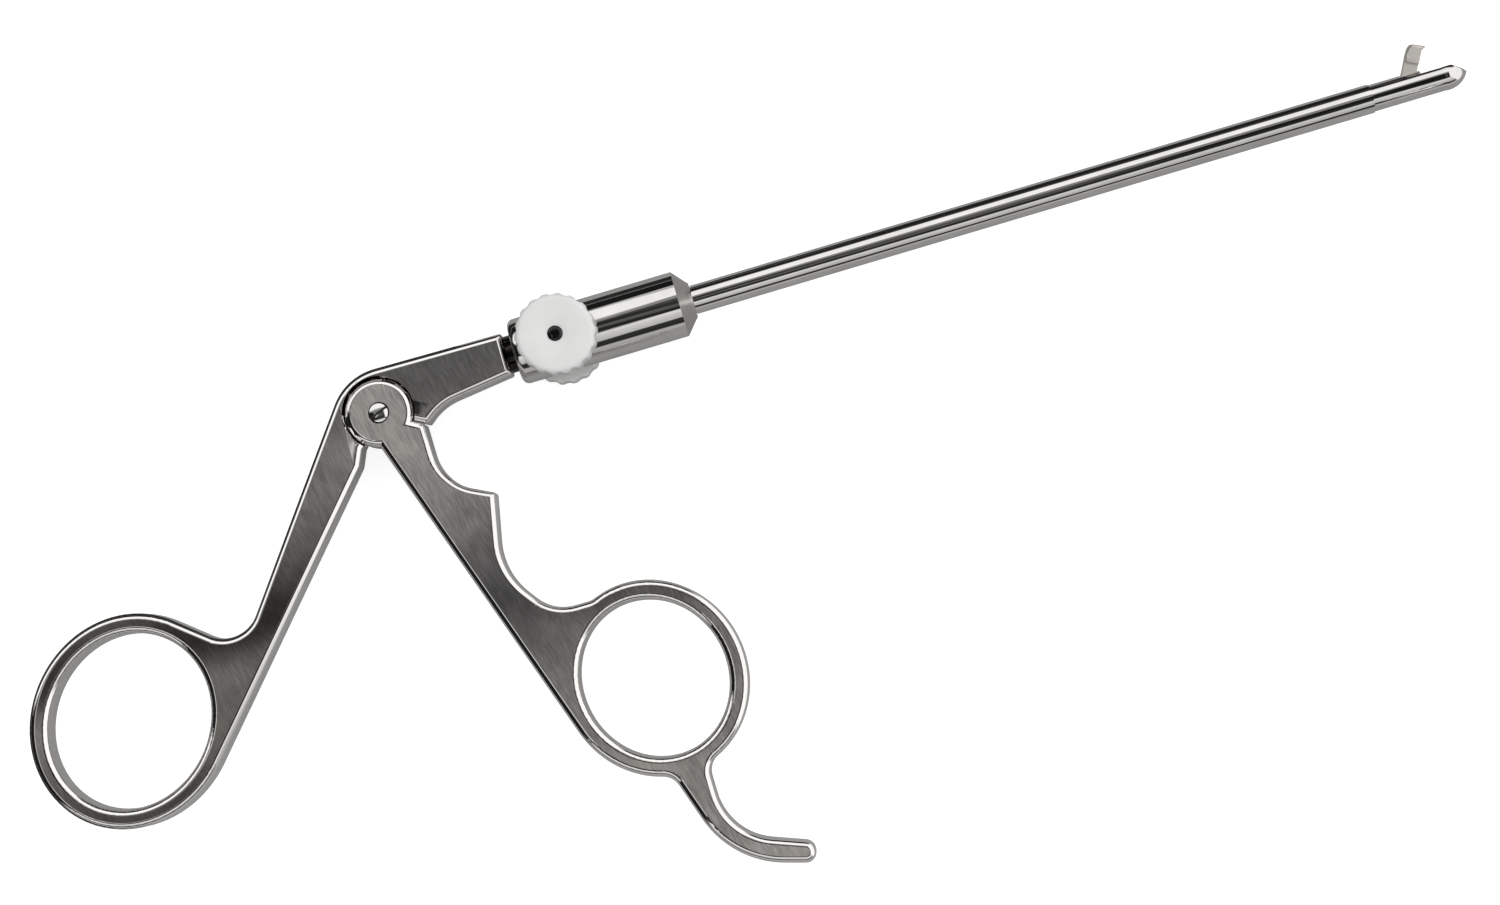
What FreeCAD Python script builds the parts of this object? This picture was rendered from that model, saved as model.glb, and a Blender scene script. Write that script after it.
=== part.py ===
import FreeCAD, Part
import math
import os

# Ring-handled laryngeal forceps with a rotating shaft. Lengths in millimetres.
# +X runs along the shaft to the tip, +Y is up in the plane of the handles and +Z is the near side,
# the side of the moving handle. Each side of the barrel has a wheel.
# The origin is on the shaft axis where the shaft leaves the nose of the barrel.

# Handle plates
handle_thickness = 6.0
rim_round = 1.1
blend_radius = 3.0
lap_gap = 0.1

# Pivot
pivot_behind_forearm_end = 22.4
pivot_drop = 3.3
disc_radius = 5.55
disc_joins_reach = 2.5 * disc_radius
lap_clearance = 0.35
lip_angle = -29.0
lip_reach = 8.2
shoulder_angle = -30.5
shoulder_reach = 7.7
lip_round = 0.3
screw_radius = 1.25
screw_head_radius = 1.5
screw_head_height = 1.1
screw_head_round = 0.3
countersink_radius = 1.78
screw_slot_width = 0.4
screw_slot_depth = 0.45
screw_slot_angle = 22.0

# Forearm
forearm_height = 6.9
forearm_corner = 0.4
bend_back = 3.7
bend_rise = 7.17
bend_round = 9.5
throat_ahead = 10.1
throat_drop = 1.7
throat_round = 9.0

# Arm and thumb ring of the fixed handle
heel_back = 31.54
heel_drop = 30.4
heel_round = 5.6
thumb_ring_back = 52.0
thumb_ring_drop = 36.2
thumb_hole_long = 14.3
thumb_hole_short = 12.8
thumb_ring_angle = 230.8
thumb_arm_angle = 48.5
thumb_arm_length = 52.6
crotch_back = 4.1
crotch_drop = 4.9
ring_bar = 3.2
ring_join_margin = 1.0

# Arm, finger ring and hook of the moving handle
upper_scallop_ahead = 6.7
upper_scallop_drop = 13.75
upper_scallop_round = 8.0
peak_ahead = 14.5
peak_drop = 17.7
peak_round = 0.5
lower_scallop_ahead = 11.9
lower_scallop_drop = 30.2
lower_scallop_round = 11.5
saddle_ahead = 18.0
saddle_drop = 38.65
saddle_round = 7.5
finger_ring_ahead = 30.6
finger_ring_drop = 53.4
finger_hole_long = 12.8
finger_hole_short = 11.7
finger_ring_angle = 103.6
finger_arm_angle = -71.4
finger_arm_length = 58.5
hook_root_drop = 11.3
hook_root_back = 3.1
hook_bend_ahead = 3.54
hook_bend_drop = 31.6
hook_bend_round = 16.0
hook_inner_ahead = 4.35
hook_inner_drop = 27.2
hook_inner_round = 10.0
hook_tip_ahead = 17.0
hook_tip_drop = 33.8
hook_tip_height = 3.6
hook_tip_round = 1.7

# Barrel
barrel_radius = 5.4
barrel_length = 30.1
barrel_rear_round = 1.1
barrel_bore_radius = 4.3
rear_wall = 2.4
nose_length = 2.35
nose_edge = 0.4
nose_wall = 0.8
nose_front_radius = 2.85
nose_spigot_length = 3.0
nose_spigot_radius = 3.9

# Neck between forearm and barrel
stud_radius = 1.9
stud_depth = 4.5
neck_length = 1.2
neck_ring_radius = 3.05
neck_ring_slots = 6
neck_slot_depth = 0.5
neck_slot_width = 0.8

# Wheels
wheel_ahead_of_rear = 7.6
wheel_radius = 6.55
wheel_height = 4.4
wheel_shoulder = 1.1
wheel_foot_round = 0.4
wheel_scallops = 18
scallop_radius = 1.15
scallop_depth = 0.32
dimple_radius = 2.1
dimple_depth = 0.3
cap_radius = 1.25
cap_proud = 0.35
cap_round = 0.9 * cap_proud
screw_bore_radius = 0.8
wheel_screw_head_radius = 1.15
wheel_screw_head_height = 0.8
wheel_screw_grip = 2.0
wheel_screw_slot_width = 0.3
wheel_screw_slot_depth = 0.3
wheel_web = 0.8
axle_radius = 1.15
axle_tongue = 1.6
bush_radius = 2.7
bush_bottom = 4.0
bush_rise = 0.1

# Bevel drive
gear_module = 0.4
addendum = 0.8 * gear_module
dedendum = 1.15 * gear_module
gear_teeth = 16
pinion_teeth = 10
tooth_face = 1.1
tooth_share = 0.36
tooth_flank_angle = 20.0
gear_hub_radius = 3.3
gear_rim = 0.5
gear_seat = 3.4
tube_end_ahead_of_wheel = 5.5
gear_pin_radius = 0.4

# Shaft tube
tube_radius = 2.375
journal_radius = 2.2
tube_bore_radius = 1.35
tube_length = 114.0
bush_outer_radius = 3.2
bush_length = 7.5
bush_flange = 0.8

# Rod
rod_radius = 0.6
rod_clearance = 0.2
ball_radius = 1.1
rod_start_ahead_of_ball = 0.8 * ball_radius
tongue_half_width = 0.35
tongue_wall = 0.36
tongue_length = 3.2

# Jaws
housing_length = 8.6
cup_length = 7.4
jaw_pivot_back = 1.1
jaw_pivot_drop = 1.0
jaw_pin_radius = 0.25
jaw_hub_radius = 0.6
jaw_hub_round = 0.9 * jaw_hub_radius
jaw_open_angle = 61.0
handle_swing = 20.0
insert_radius = 1.9
insert_length = 5.0
cup_radius = 2.2
cup_nose_length = 4.0
cup_nose_blunt = 0.25
cup_nose_middle = 3.1
cup_nose_middle_radius = 0.66 * cup_radius
cup_rim_height = 1.4
jaw_half_width = 0.8
jaw_slot_back = 2.9
jaw_mouth_back = 2.1
jaw_fork_back = 3.0
jaw_fork_ahead = 2.0
jaw_fork_floor = 0.3
bite_half_width = 1.25
bite_start = 4.2
bite_reach = 7.4
bite_corner = 0.7
bite_round = 0.2
bite_underside = 0.75
bite_heel_ahead = 1.1
bite_tooth_back = 6.7
bite_tooth_tip = 7.35
bite_tooth_height = 0.1
bite_front = 7.05
bite_top = 3.0
bite_back_round = 1.0
bite_back = 0.75
bite_back_height = 1.3
cup_floor = 1.25
cup_mouth_back = 3.8
cup_slope_back = 2.3
cup_slope_drop = 1.6
cup_edge_round = 0.4
pocket_lead = 0.9
crank_pin_radius = 0.22

# Fits and clearances
running_fit = 0.05
slide_gap = 0.1
socket_gap = 0.08

# How far a cutting shape runs past the surface that it cuts
overrun = 1.0

# Values that follow
half = handle_thickness / 2
forearm_end = barrel_length + neck_length
pivot = FreeCAD.Vector(-forearm_end - pivot_behind_forearm_end, -pivot_drop, 0)
wheel_x = -barrel_length + wheel_ahead_of_rear
tube_rear = wheel_x + tube_end_ahead_of_wheel
rod_bore_radius = rod_radius + rod_clearance
drive_arm = pivot_drop / math.cos(math.radians(handle_swing / 2))
rod_travel = 2 * drive_arm * math.sin(math.radians(handle_swing / 2))
ball_x = pivot.x - rod_travel / 2
crank_arm = rod_travel / 2 / math.sin(math.radians(jaw_open_angle / 2))
housing_end = tube_length + housing_length
jaw_tip = housing_end + cup_length
jaw_pivot_x = housing_end - jaw_pivot_back
crank_x = jaw_pivot_x - rod_travel / 2
crank_y = -jaw_pivot_drop + crank_arm * math.cos(math.radians(jaw_open_angle / 2))
jaw_slot_half_width = jaw_half_width + slide_gap
jaw_slot_start = jaw_pivot_x - jaw_slot_back
jaw_mouth_start = jaw_pivot_x - jaw_mouth_back
gear_pitch_radius = gear_module * gear_teeth / 2
pinion_pitch_radius = gear_module * pinion_teeth / 2
gear_front = tube_rear + gear_seat
nose_front = -slide_gap
bush_front = nose_front - nose_wall
bush_rear = bush_front - bush_length - bush_flange


def vec(x, y, z=0.0):
    return FreeCAD.Vector(x, y, z)


def polar(length, degrees):
    angle = math.radians(degrees)
    return vec(length * math.cos(angle), length * math.sin(angle))


def rounded_wire(corners):
    """Closed wire through (x, y, radius) corners, with an arc at each corner that has a radius."""
    edges = []
    count = len(corners)
    ends = []
    for i, (x, y, radius) in enumerate(corners):
        here = vec(x, y)
        back = vec(*corners[i - 1][:2]) - here
        ahead = vec(*corners[(i + 1) % count][:2]) - here
        if radius == 0:
            ends.append((here, here, None))
            continue
        back.normalize()
        ahead.normalize()
        half_angle = back.getAngle(ahead) / 2
        reach = radius / math.tan(half_angle)
        bisector = (back + ahead).normalize()
        middle = here + bisector * (radius / math.sin(half_angle) - radius)
        ends.append((here + back * reach, here + ahead * reach, middle))
    for i, (start, end, middle) in enumerate(ends):
        if middle is not None:
            edges.append(Part.Arc(start, middle, end).toShape())
        following = ends[(i + 1) % count][0]
        if end.distanceToPoint(following) > 1e-6:
            edges.append(Part.LineSegment(end, following).toShape())
    return Part.Wire(edges)


def corner(base, ahead, up, radius=0.0):
    """Corner of an outline, placed from a base point."""
    return base.x + ahead, base.y + up, radius


def plate(corners, bottom=-half, top=half):
    """Plate between two heights with a rounded outline."""
    face = Part.Face(rounded_wire(corners))
    face.translate(vec(0, 0, bottom))
    return face.extrude(vec(0, 0, top - bottom))


def oval_plate(centre, long_radius, short_radius, angle, bottom=-half, top=half):
    """Elliptic plate with its long axis turned by an angle in degrees."""
    oval = Part.Ellipse(vec(0, 0), long_radius, short_radius).toShape()
    face = Part.Face(Part.Wire([oval]))
    face.rotate(vec(0, 0), vec(0, 0, 1), angle)
    face.translate(centre + vec(0, 0, bottom))
    return face.extrude(vec(0, 0, top - bottom))


def oval_tangent_point(centre, long_radius, short_radius, angle, normal_angle):
    """Point of an ellipse whose outward normal has the given direction."""
    turn = math.radians(normal_angle - angle)
    along = long_radius ** 2 * math.cos(turn)
    across = short_radius ** 2 * math.sin(turn)
    reach = math.hypot(long_radius * math.cos(turn), short_radius * math.sin(turn))
    return centre + polar(along / reach, angle) + polar(across / reach, angle + 90)


def disc_x(radius, start, end, y=0.0, z=0.0):
    return Part.makeCylinder(radius, end - start, vec(start, y, z), vec(1, 0, 0))


def disc_z(radius, bottom, top, x=0.0, y=0.0):
    return Part.makeCylinder(radius, top - bottom, vec(x, y, bottom), vec(0, 0, 1))


def box(x0, x1, y0, y1, z0, z1):
    return Part.makeBox(x1 - x0, y1 - y0, z1 - z0, vec(x0, y0, z0))


def revolve_x(profile):
    """Solid of revolution round the shaft axis of (x, radius) corner points."""
    points = [vec(x, r) for x, r in profile]
    face = Part.Face(Part.makePolygon(points + points[:1]))
    return face.revolve(vec(0, 0), vec(1, 0, 0), 360)


def fuse_all(solids):
    joined = solids[0].multiFuse(solids[1:]).removeSplitter()
    return joined.Solids[0]


def sharp_uprights(shape):
    """Upright edges at which two walls meet at a corner instead of running on smoothly."""
    found = []
    for edge in shape.Edges:
        ends = [v.Point for v in edge.Vertexes]
        if len(ends) != 2 or (ends[0] - ends[1]).cross(vec(0, 0, 1)).Length > 1e-6:
            continue
        walls = shape.ancestorsOfType(edge, Part.Face)
        middle = (ends[0] + ends[1]) / 2
        normals = [wall.normalAt(*wall.Surface.parameter(middle)) for wall in walls]
        if len(normals) == 2 and normals[0].getAngle(normals[1]) > math.radians(4):
            found.append(edge)
    return found


def round_rims(shape, radius, heights):
    """Rounds every edge that lies flat at one of the heights."""
    rims = []
    for edge in shape.Edges:
        limits = edge.BoundBox
        if limits.ZLength < 1e-6 and any(abs(limits.ZMin - height) < 1e-6 for height in heights):
            rims.append(edge)
    return shape.makeFillet(radius, rims)


def handle_plate(pieces, ring_centre, hole_long, hole_short, ring_angle):
    """Handle of one thickness: arm pieces joined to their ring, with blended joins and rounded rims."""
    ring = oval_plate(ring_centre, hole_long + ring_bar, hole_short + ring_bar, ring_angle)
    solid = fuse_all([ring] + pieces)
    joins = [e for e in sharp_uprights(solid) if (e.CenterOfMass - pivot).Length > disc_joins_reach]
    inside_ring = hole_long + ring_bar + ring_join_margin
    joins = [e for e in joins if (e.CenterOfMass - ring_centre).Length < inside_ring]
    if joins:
        solid = solid.makeFillet(blend_radius, joins)
    hole = oval_plate(ring_centre, hole_long, hole_short, ring_angle)
    return round_rims(solid.cut(hole), rim_round, (-half, half))


def make_fixed_handle():
    ring_centre = pivot + vec(-thumb_ring_back, -thumb_ring_drop)
    long_out = thumb_hole_long + ring_bar
    short_out = thumb_hole_short + ring_bar
    ring_top = oval_tangent_point(ring_centre, long_out, short_out, thumb_ring_angle, thumb_ring_angle - 180)
    ring_low = oval_tangent_point(ring_centre, long_out, short_out, thumb_ring_angle, thumb_arm_angle - 90)
    arm_low = ring_low + polar(thumb_arm_length, thumb_arm_angle)
    body = plate([
        (-forearm_end, -forearm_height / 2, forearm_corner),
        (-forearm_end, forearm_height / 2, forearm_corner),
        corner(pivot, -bend_back, bend_rise, bend_round),
        corner(pivot, -heel_back, -heel_drop, heel_round),
        corner(ring_top, 0, 0),
        corner(ring_centre, 0, 0),
        corner(ring_low, 0, 0),
        corner(arm_low, 0, 0),
        corner(pivot, -crotch_back, -crotch_drop),
        corner(pivot, 0, 0),
        corner(pivot + polar(lip_reach, lip_angle), 0, 0, lip_round),
        corner(pivot, throat_ahead, -throat_drop, throat_round),
    ])
    boss = disc_z(disc_radius, -half, half, pivot.x, pivot.y)
    solid = handle_plate([body, boss], ring_centre, thumb_hole_long, thumb_hole_short, thumb_ring_angle)
    pocket_radius = disc_radius + lap_clearance
    solid = solid.cut(disc_z(pocket_radius, -lap_gap / 2, half + overrun, pivot.x, pivot.y))
    channel_half = ball_radius + slide_gap
    reach = ball_radius + overrun
    channel = box(ball_x - reach, ball_x + rod_travel + reach, -channel_half, channel_half,
                  -channel_half, half)
    solid = solid.cut(channel)
    solid = solid.cut(disc_x(rod_bore_radius, pivot.x, -forearm_end + overrun))
    solid = solid.cut(disc_x(stud_radius, -forearm_end - stud_depth, -forearm_end + overrun))
    solid = solid.cut(disc_z(screw_radius, -half - overrun, half, pivot.x, pivot.y))
    return solid.removeSplitter()


def make_moving_handle():
    ring_centre = pivot + vec(finger_ring_ahead, -finger_ring_drop)
    long_out = finger_hole_long + ring_bar
    short_out = finger_hole_short + ring_bar
    ring_back = oval_tangent_point(ring_centre, long_out, short_out, finger_ring_angle, finger_arm_angle - 90)
    back_top = ring_back - polar(finger_arm_length, finger_arm_angle)
    arm = plate([
        corner(pivot + polar(shoulder_reach, shoulder_angle), 0, 0, lip_round),
        corner(pivot, upper_scallop_ahead, -upper_scallop_drop, upper_scallop_round),
        corner(pivot, peak_ahead, -peak_drop, peak_round),
        corner(pivot, lower_scallop_ahead, -lower_scallop_drop, lower_scallop_round),
        corner(pivot, saddle_ahead, -saddle_drop, saddle_round),
        corner(pivot, finger_ring_ahead, -saddle_drop),
        corner(ring_centre, 0, 0),
        corner(ring_back, 0, 0),
        corner(back_top, 0, 0),
        corner(pivot, 0, 0),
    ])
    hook = plate([
        corner(ring_centre, -hook_root_back, -hook_root_drop),
        corner(ring_centre, hook_bend_ahead, -hook_bend_drop, hook_bend_round),
        corner(ring_centre, hook_tip_ahead, -hook_tip_drop - hook_tip_height / 2, hook_tip_round),
        corner(ring_centre, hook_tip_ahead, -hook_tip_drop + hook_tip_height / 2, hook_tip_round),
        corner(ring_centre, hook_inner_ahead, -hook_inner_drop, hook_inner_round),
        corner(ring_centre, hook_inner_ahead, -hook_root_drop),
    ])
    disc = disc_z(disc_radius, -half, half, pivot.x, pivot.y)
    solid = handle_plate([arm, hook, disc], ring_centre, finger_hole_long, finger_hole_short,
                         finger_ring_angle)
    clear_radius = disc_radius + lap_clearance
    solid = solid.cut(disc_z(clear_radius, -half - overrun, lap_gap / 2, pivot.x, pivot.y))
    socket = disc_z(ball_radius + socket_gap, 0, ball_radius + slide_gap, ball_x, 0)
    rod_width = rod_radius + slide_gap
    slot_end = pivot.x + disc_radius + overrun
    slot_rise = (slot_end - ball_x) * math.tan(math.radians(handle_swing))
    rod_slot = plate([
        (ball_x, -rod_width, 0),
        (slot_end, -rod_width, 0),
        (slot_end, rod_width + slot_rise, 0),
        (ball_x, rod_width, 0),
    ], 0, rod_width)
    solid = solid.cut(socket).cut(rod_slot)
    solid = solid.cut(disc_z(screw_radius + running_fit, 0, half + overrun, pivot.x, pivot.y))
    solid = solid.cut(disc_z(countersink_radius, half - screw_head_height, half + overrun, pivot.x, pivot.y))
    return solid.removeSplitter()


def make_pivot_screw():
    shank = disc_z(screw_radius, -half, half, pivot.x, pivot.y)
    head = disc_z(screw_head_radius, half - screw_head_height + lap_gap, half, pivot.x, pivot.y)
    head = round_rims(head, screw_head_round, (half,))
    slot = box(-screw_head_radius, screw_head_radius, -screw_slot_width / 2, screw_slot_width / 2,
               half - screw_slot_depth, half + 1)
    slot.rotate(vec(0, 0), vec(0, 0, 1), screw_slot_angle)
    slot.translate(pivot)
    return shank.fuse(head).cut(slot).removeSplitter()


def tongue_start():
    return crank_x - tongue_length


def make_push_rod():
    return disc_x(rod_radius, ball_x + rod_start_ahead_of_ball, tongue_start())


def make_rod_ball():
    ball = Part.makeSphere(ball_radius, vec(ball_x, 0, 0))
    return ball.cut(make_push_rod())


def make_rod_tongue():
    slot_rise = crank_arm * (1 - math.cos(math.radians(jaw_open_angle / 2))) + 2 * running_fit
    reach = crank_pin_radius + running_fit
    wall = reach + tongue_wall
    body = box(tongue_start(), crank_x + wall, crank_y - wall, crank_y + slot_rise + wall,
               -tongue_half_width, tongue_half_width)
    slot = box(crank_x - reach, crank_x + reach, crank_y - reach, crank_y + slot_rise + reach, -1, 1)
    return body.cut(slot)


def make_neck_stud():
    front = -barrel_length + rear_wall
    stud = disc_x(stud_radius, -forearm_end - stud_depth, front)
    return stud.cut(disc_x(rod_bore_radius, -forearm_end - stud_depth, front))


def make_neck_ring():
    ring = disc_x(neck_ring_radius, -forearm_end, -barrel_length)
    ring = ring.cut(disc_x(stud_radius, -forearm_end, -barrel_length))
    for i in range(neck_ring_slots):
        slot = box(-forearm_end, -barrel_length, -neck_slot_width / 2, neck_slot_width / 2,
                   neck_ring_radius - neck_slot_depth, neck_ring_radius + 1)
        slot.rotate(vec(0, 0), vec(1, 0, 0), 360 / neck_ring_slots * (i + 0.5))
        ring = ring.cut(slot)
    return ring


def make_barrel():
    front = -nose_length
    body = disc_x(barrel_radius, -barrel_length, front)
    rear_rim = [e for e in body.Edges if e.BoundBox.XLength < 1e-6 and e.BoundBox.XMin < front - 1]
    body = body.makeFillet(barrel_rear_round, rear_rim)
    body = body.cut(disc_x(barrel_bore_radius, -barrel_length + rear_wall, front - nose_spigot_length))
    body = body.cut(disc_x(nose_spigot_radius, front - nose_spigot_length - overrun, front))
    body = body.cut(disc_x(stud_radius, -barrel_length - overrun, -barrel_length + rear_wall + overrun))
    body = body.cut(disc_z(bush_radius, -barrel_radius - overrun, barrel_radius + overrun, wheel_x))
    return body.removeSplitter()


def make_nose_cap():
    start = -nose_length
    cap = revolve_x([
        (start - nose_spigot_length, 0),
        (start - nose_spigot_length, nose_spigot_radius),
        (start, nose_spigot_radius),
        (start, barrel_radius),
        (nose_front - nose_edge, nose_front_radius + nose_edge),
        (nose_front, nose_front_radius),
        (nose_front, 0),
    ])
    cap = cap.cut(disc_x(bush_outer_radius, start - nose_spigot_length - overrun, bush_front))
    return cap.cut(disc_x(journal_radius + running_fit, start, 1))


def make_front_bush():
    rear = bush_front - bush_length
    bush = disc_x(bush_outer_radius, rear, bush_front)
    flange = disc_x(barrel_bore_radius - slide_gap, rear - bush_flange, rear)
    bore = disc_x(journal_radius + running_fit, rear - 2, bush_front + overrun)
    return bush.fuse(flange).cut(bore).removeSplitter()


def make_spacer_sleeve():
    end = bush_rear - slide_gap
    return disc_x(gear_hub_radius, gear_front, end).cut(disc_x(journal_radius, gear_front, end))


def make_shaft_tube():
    tube = disc_x(journal_radius, tube_rear, 0).fuse(disc_x(tube_radius, 0, tube_length))
    tube = tube.cut(disc_x(tube_bore_radius, tube_rear - overrun, tube_length + overrun))
    tube = tube.cut(disc_x(insert_radius, tube_length - insert_length, tube_length + overrun))
    return tube.cut(gear_pin_shape()).removeSplitter()


def gear_pin_shape():
    middle = gear_front - gear_seat / 2
    length = gear_hub_radius - tube_bore_radius
    return Part.makeCylinder(gear_pin_radius, length, vec(middle, tube_bore_radius, 0), vec(0, 1, 0))


def cone_point(pitch_radius, other_radius, height):
    """Radius and distance from the apex of a point that stands above the pitch cone at its outer end."""
    length = math.hypot(pitch_radius, other_radius)
    sine = pitch_radius / length
    cosine = other_radius / length
    return pitch_radius + height * cosine, other_radius - height * sine


def bevel_teeth(count, pitch_radius, other_radius):
    """Teeth of a bevel gear about +Z with its apex at the origin."""
    length = math.hypot(pitch_radius, other_radius)
    inner = (length - tooth_face) / length
    pitch_half = tooth_share * math.pi * gear_module / 2
    slope = math.tan(math.radians(tooth_flank_angle))
    teeth = []
    for i in range(count):
        corners = []
        for height, side in ((-dedendum - 0.05, -1), (addendum, -1), (addendum, 1), (-dedendum - 0.05, 1)):
            radius, depth = cone_point(pitch_radius, other_radius, height)
            corners.append(vec(radius, side * (pitch_half - height * slope), depth))
        outer = Part.makePolygon(corners + corners[:1])
        small = [corner * inner for corner in corners]
        tooth = Part.makeLoft([outer, Part.makePolygon(small + small[:1])], True, True)
        tooth.rotate(vec(0, 0), vec(0, 0, 1), 360 / count * i)
        teeth.append(tooth)
    return teeth


def bevel_root(pitch_radius, other_radius, back_depth):
    """Blank of a bevel gear up to the root cone, with a flat back at a depth from the apex."""
    length = math.hypot(pitch_radius, other_radius)
    inner = (length - tooth_face) / length
    radius, depth = cone_point(pitch_radius, other_radius, -dedendum)
    points = [
        vec(0, 0, depth * inner),
        vec(radius * inner, 0, depth * inner),
        vec(radius, 0, depth),
        vec(radius, 0, back_depth),
        vec(0, 0, back_depth),
    ]
    face = Part.Face(Part.makePolygon(points + points[:1]))
    return face.revolve(vec(0, 0), vec(0, 0, 1), 360)


def make_bevel_gear():
    other = pinion_pitch_radius
    root_depth = cone_point(gear_pitch_radius, other, -dedendum)[1]
    gear = fuse_all([bevel_root(gear_pitch_radius, other, root_depth + gear_rim)]
                    + bevel_teeth(gear_teeth, gear_pitch_radius, other))
    gear.rotate(vec(0, 0), vec(0, 0, 1), 180 / gear_teeth)
    gear.rotate(vec(0, 0), vec(0, 1, 0), 90)
    gear.translate(vec(wheel_x, 0, 0))
    hub = disc_x(gear_hub_radius, wheel_x + root_depth + gear_rim / 2, gear_front)
    gear = gear.fuse(hub)
    gear = gear.cut(disc_x(rod_bore_radius, wheel_x, 0))
    gear = gear.cut(disc_x(journal_radius, tube_rear, 0))
    return gear.cut(gear_pin_shape()).removeSplitter()


def wheel_bottom():
    return barrel_radius + bush_rise + slide_gap


def make_pinion_axle():
    other = gear_pitch_radius
    pinion = fuse_all([bevel_root(pinion_pitch_radius, other, bush_bottom - slide_gap)]
                      + bevel_teeth(pinion_teeth, pinion_pitch_radius, other))
    pinion.translate(vec(wheel_x, 0, 0))
    axle_top = wheel_bottom() + axle_tongue
    axle = disc_z(axle_radius, other, axle_top, wheel_x)
    bore = disc_z(screw_bore_radius, axle_top - wheel_screw_grip, axle_top + overrun, wheel_x)
    return pinion.fuse(axle).cut(bore).removeSplitter()


def make_axle_bush():
    bush = disc_z(bush_radius, bush_bottom, barrel_radius + bush_rise, wheel_x)
    return bush.cut(disc_z(axle_radius + running_fit, 0, barrel_radius + 2, wheel_x))


def make_wheel():
    bottom = wheel_bottom()
    top = bottom + wheel_height
    wheel = disc_z(wheel_radius, bottom, top, wheel_x)
    wheel = round_rims(wheel, wheel_shoulder, (top,))
    wheel = round_rims(wheel, wheel_foot_round, (bottom,))
    for i in range(wheel_scallops):
        reach = wheel_radius + scallop_radius - scallop_depth
        centre = vec(wheel_x, 0) + polar(reach, 360 / wheel_scallops * i)
        wheel = wheel.cut(disc_z(scallop_radius, bottom - overrun, top + overrun, centre.x, centre.y))
    dimple = Part.makeCone(cap_radius, dimple_radius, dimple_depth, vec(wheel_x, 0, top - dimple_depth))
    wheel = wheel.cut(dimple)
    floor = bottom + axle_tongue
    wheel = wheel.cut(disc_z(axle_radius, bottom - overrun, floor, wheel_x))
    wheel = wheel.cut(disc_z(screw_bore_radius, floor, top, wheel_x))
    wheel = wheel.cut(disc_z(cap_radius, floor + wheel_web, top, wheel_x))
    return wheel


def make_wheel_screw():
    floor = wheel_bottom() + axle_tongue
    head_bottom = floor + wheel_web
    shank = disc_z(screw_bore_radius, floor - wheel_screw_grip, head_bottom, wheel_x)
    head = disc_z(wheel_screw_head_radius, head_bottom, head_bottom + wheel_screw_head_height, wheel_x)
    head_top = head_bottom + wheel_screw_head_height
    reach = 2 * wheel_screw_head_radius
    slot = box(wheel_x - reach, wheel_x + reach, -wheel_screw_slot_width / 2, wheel_screw_slot_width / 2,
               head_top - wheel_screw_slot_depth, head_top + overrun)
    return shank.fuse(head).cut(slot).removeSplitter()


def make_wheel_cap():
    top = wheel_bottom() + wheel_height - dimple_depth
    bottom = wheel_bottom() + axle_tongue + wheel_web + wheel_screw_head_height
    cap = disc_z(cap_radius, bottom, top + cap_proud, wheel_x)
    return round_rims(cap, cap_round, (top + cap_proud,))


def jaw_pin_shape():
    reach = math.sqrt(cup_radius ** 2 - jaw_pivot_drop ** 2)
    return disc_z(jaw_pin_radius, -reach, reach, jaw_pivot_x, -jaw_pivot_drop)


def make_jaw_pin():
    return jaw_pin_shape().common(disc_x(cup_radius, tube_length, housing_end))


def cup_envelope():
    """Outside of the closed jaws: a cylinder that runs out into a rounded nose."""
    start = housing_end
    straight = jaw_tip - cup_nose_length
    middle = straight + cup_nose_middle
    tip = jaw_tip + cup_nose_blunt
    edges = [
        Part.LineSegment(vec(start, 0), vec(start, cup_radius)).toShape(),
        Part.LineSegment(vec(start, cup_radius), vec(straight, cup_radius)).toShape(),
        Part.Arc(vec(straight, cup_radius), vec(middle, cup_nose_middle_radius), vec(tip, 0)).toShape(),
        Part.LineSegment(vec(tip, 0), vec(start, 0)).toShape(),
    ]
    face = Part.Face(Part.Wire(edges))
    return face.revolve(vec(0, 0), vec(1, 0, 0), 360)


def bite_block(start, end, floor, half_width, corner):
    """Block with two rounded front corners: the plan of the biting end and of the pocket that takes it."""
    block = box(start, end, floor, 2 * cup_radius, -half_width, half_width)
    front = [e for e in block.Edges if e.BoundBox.YLength > 1 and e.BoundBox.XMin > end - 0.01]
    return block.makeFillet(corner, front)


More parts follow.
